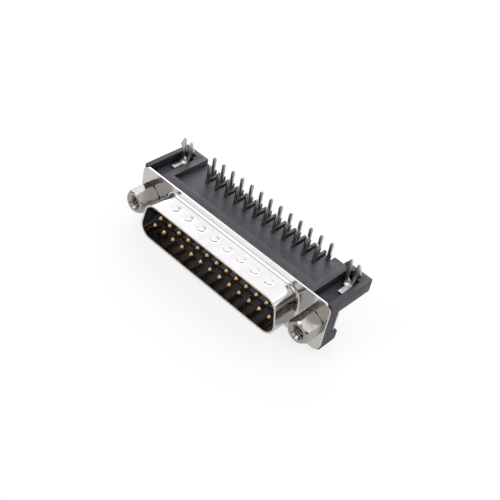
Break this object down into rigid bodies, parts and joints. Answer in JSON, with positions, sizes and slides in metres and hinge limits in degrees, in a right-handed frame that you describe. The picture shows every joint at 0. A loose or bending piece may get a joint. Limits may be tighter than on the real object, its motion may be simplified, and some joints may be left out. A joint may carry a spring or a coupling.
{
  "type": "d-sub connector",
  "caption": "Right-angle D-shaped pin connector for a circuit board: metal shroud, black housing, bent contact tails, hexagonal jackscrews and snap-in board locks.",
  "frame": {"origin": "centre of the D opening, on the front face of the metal flange", "axes": "+X along the connector, +Y to the rear, away from the mating plug, +Z towards the circuit board"},
  "size_m": [0.053, 0.0189, 0.0169],
  "materials": {
    "shell_plate": "bright nickel over drawn steel sheet, smooth",
    "housing_moulding": "black glass-filled polyester, semi-gloss",
    "contact_plating": "brass wire, gold on the pin and tin on the tail",
    "jackscrew_nickel": "nickel-plated steel, turned and lightly satin",
    "nut_plate_zinc": "zinc-plated steel, satin",
    "board_lock_tin": "tin-plated spring bronze, satin"
  },
  "bodies": {
    "root": {"board_lock_left": "board_lock_tin", "board_lock_right": "board_lock_tin", "contact_01": "contact_plating", "contact_02": "contact_plating", "contact_03": "contact_plating", "contact_04": "contact_plating", "contact_05": "contact_plating", "contact_06": "contact_plating", "contact_07": "contact_plating", "contact_08": "contact_plating", "contact_09": "contact_plating", "contact_10": "contact_plating", "contact_11": "contact_plating", "contact_12": "contact_plating", "contact_13": "contact_plating", "contact_14": "contact_plating", "contact_15": "contact_plating", "contact_16": "contact_plating", "contact_17": "contact_plating", "contact_18": "contact_plating", "contact_19": "contact_plating", "contact_20": "contact_plating", "contact_21": "contact_plating", "contact_22": "contact_plating", "contact_23": "contact_plating", "contact_24": "contact_plating", "contact_25": "contact_plating", "front_shell": "shell_plate", "housing": "housing_moulding", "jackscrew_left": "jackscrew_nickel", "jackscrew_right": "jackscrew_nickel", "nut_plate_left": "nut_plate_zinc", "nut_plate_right": "nut_plate_zinc"}
  },
  "joints": []
}
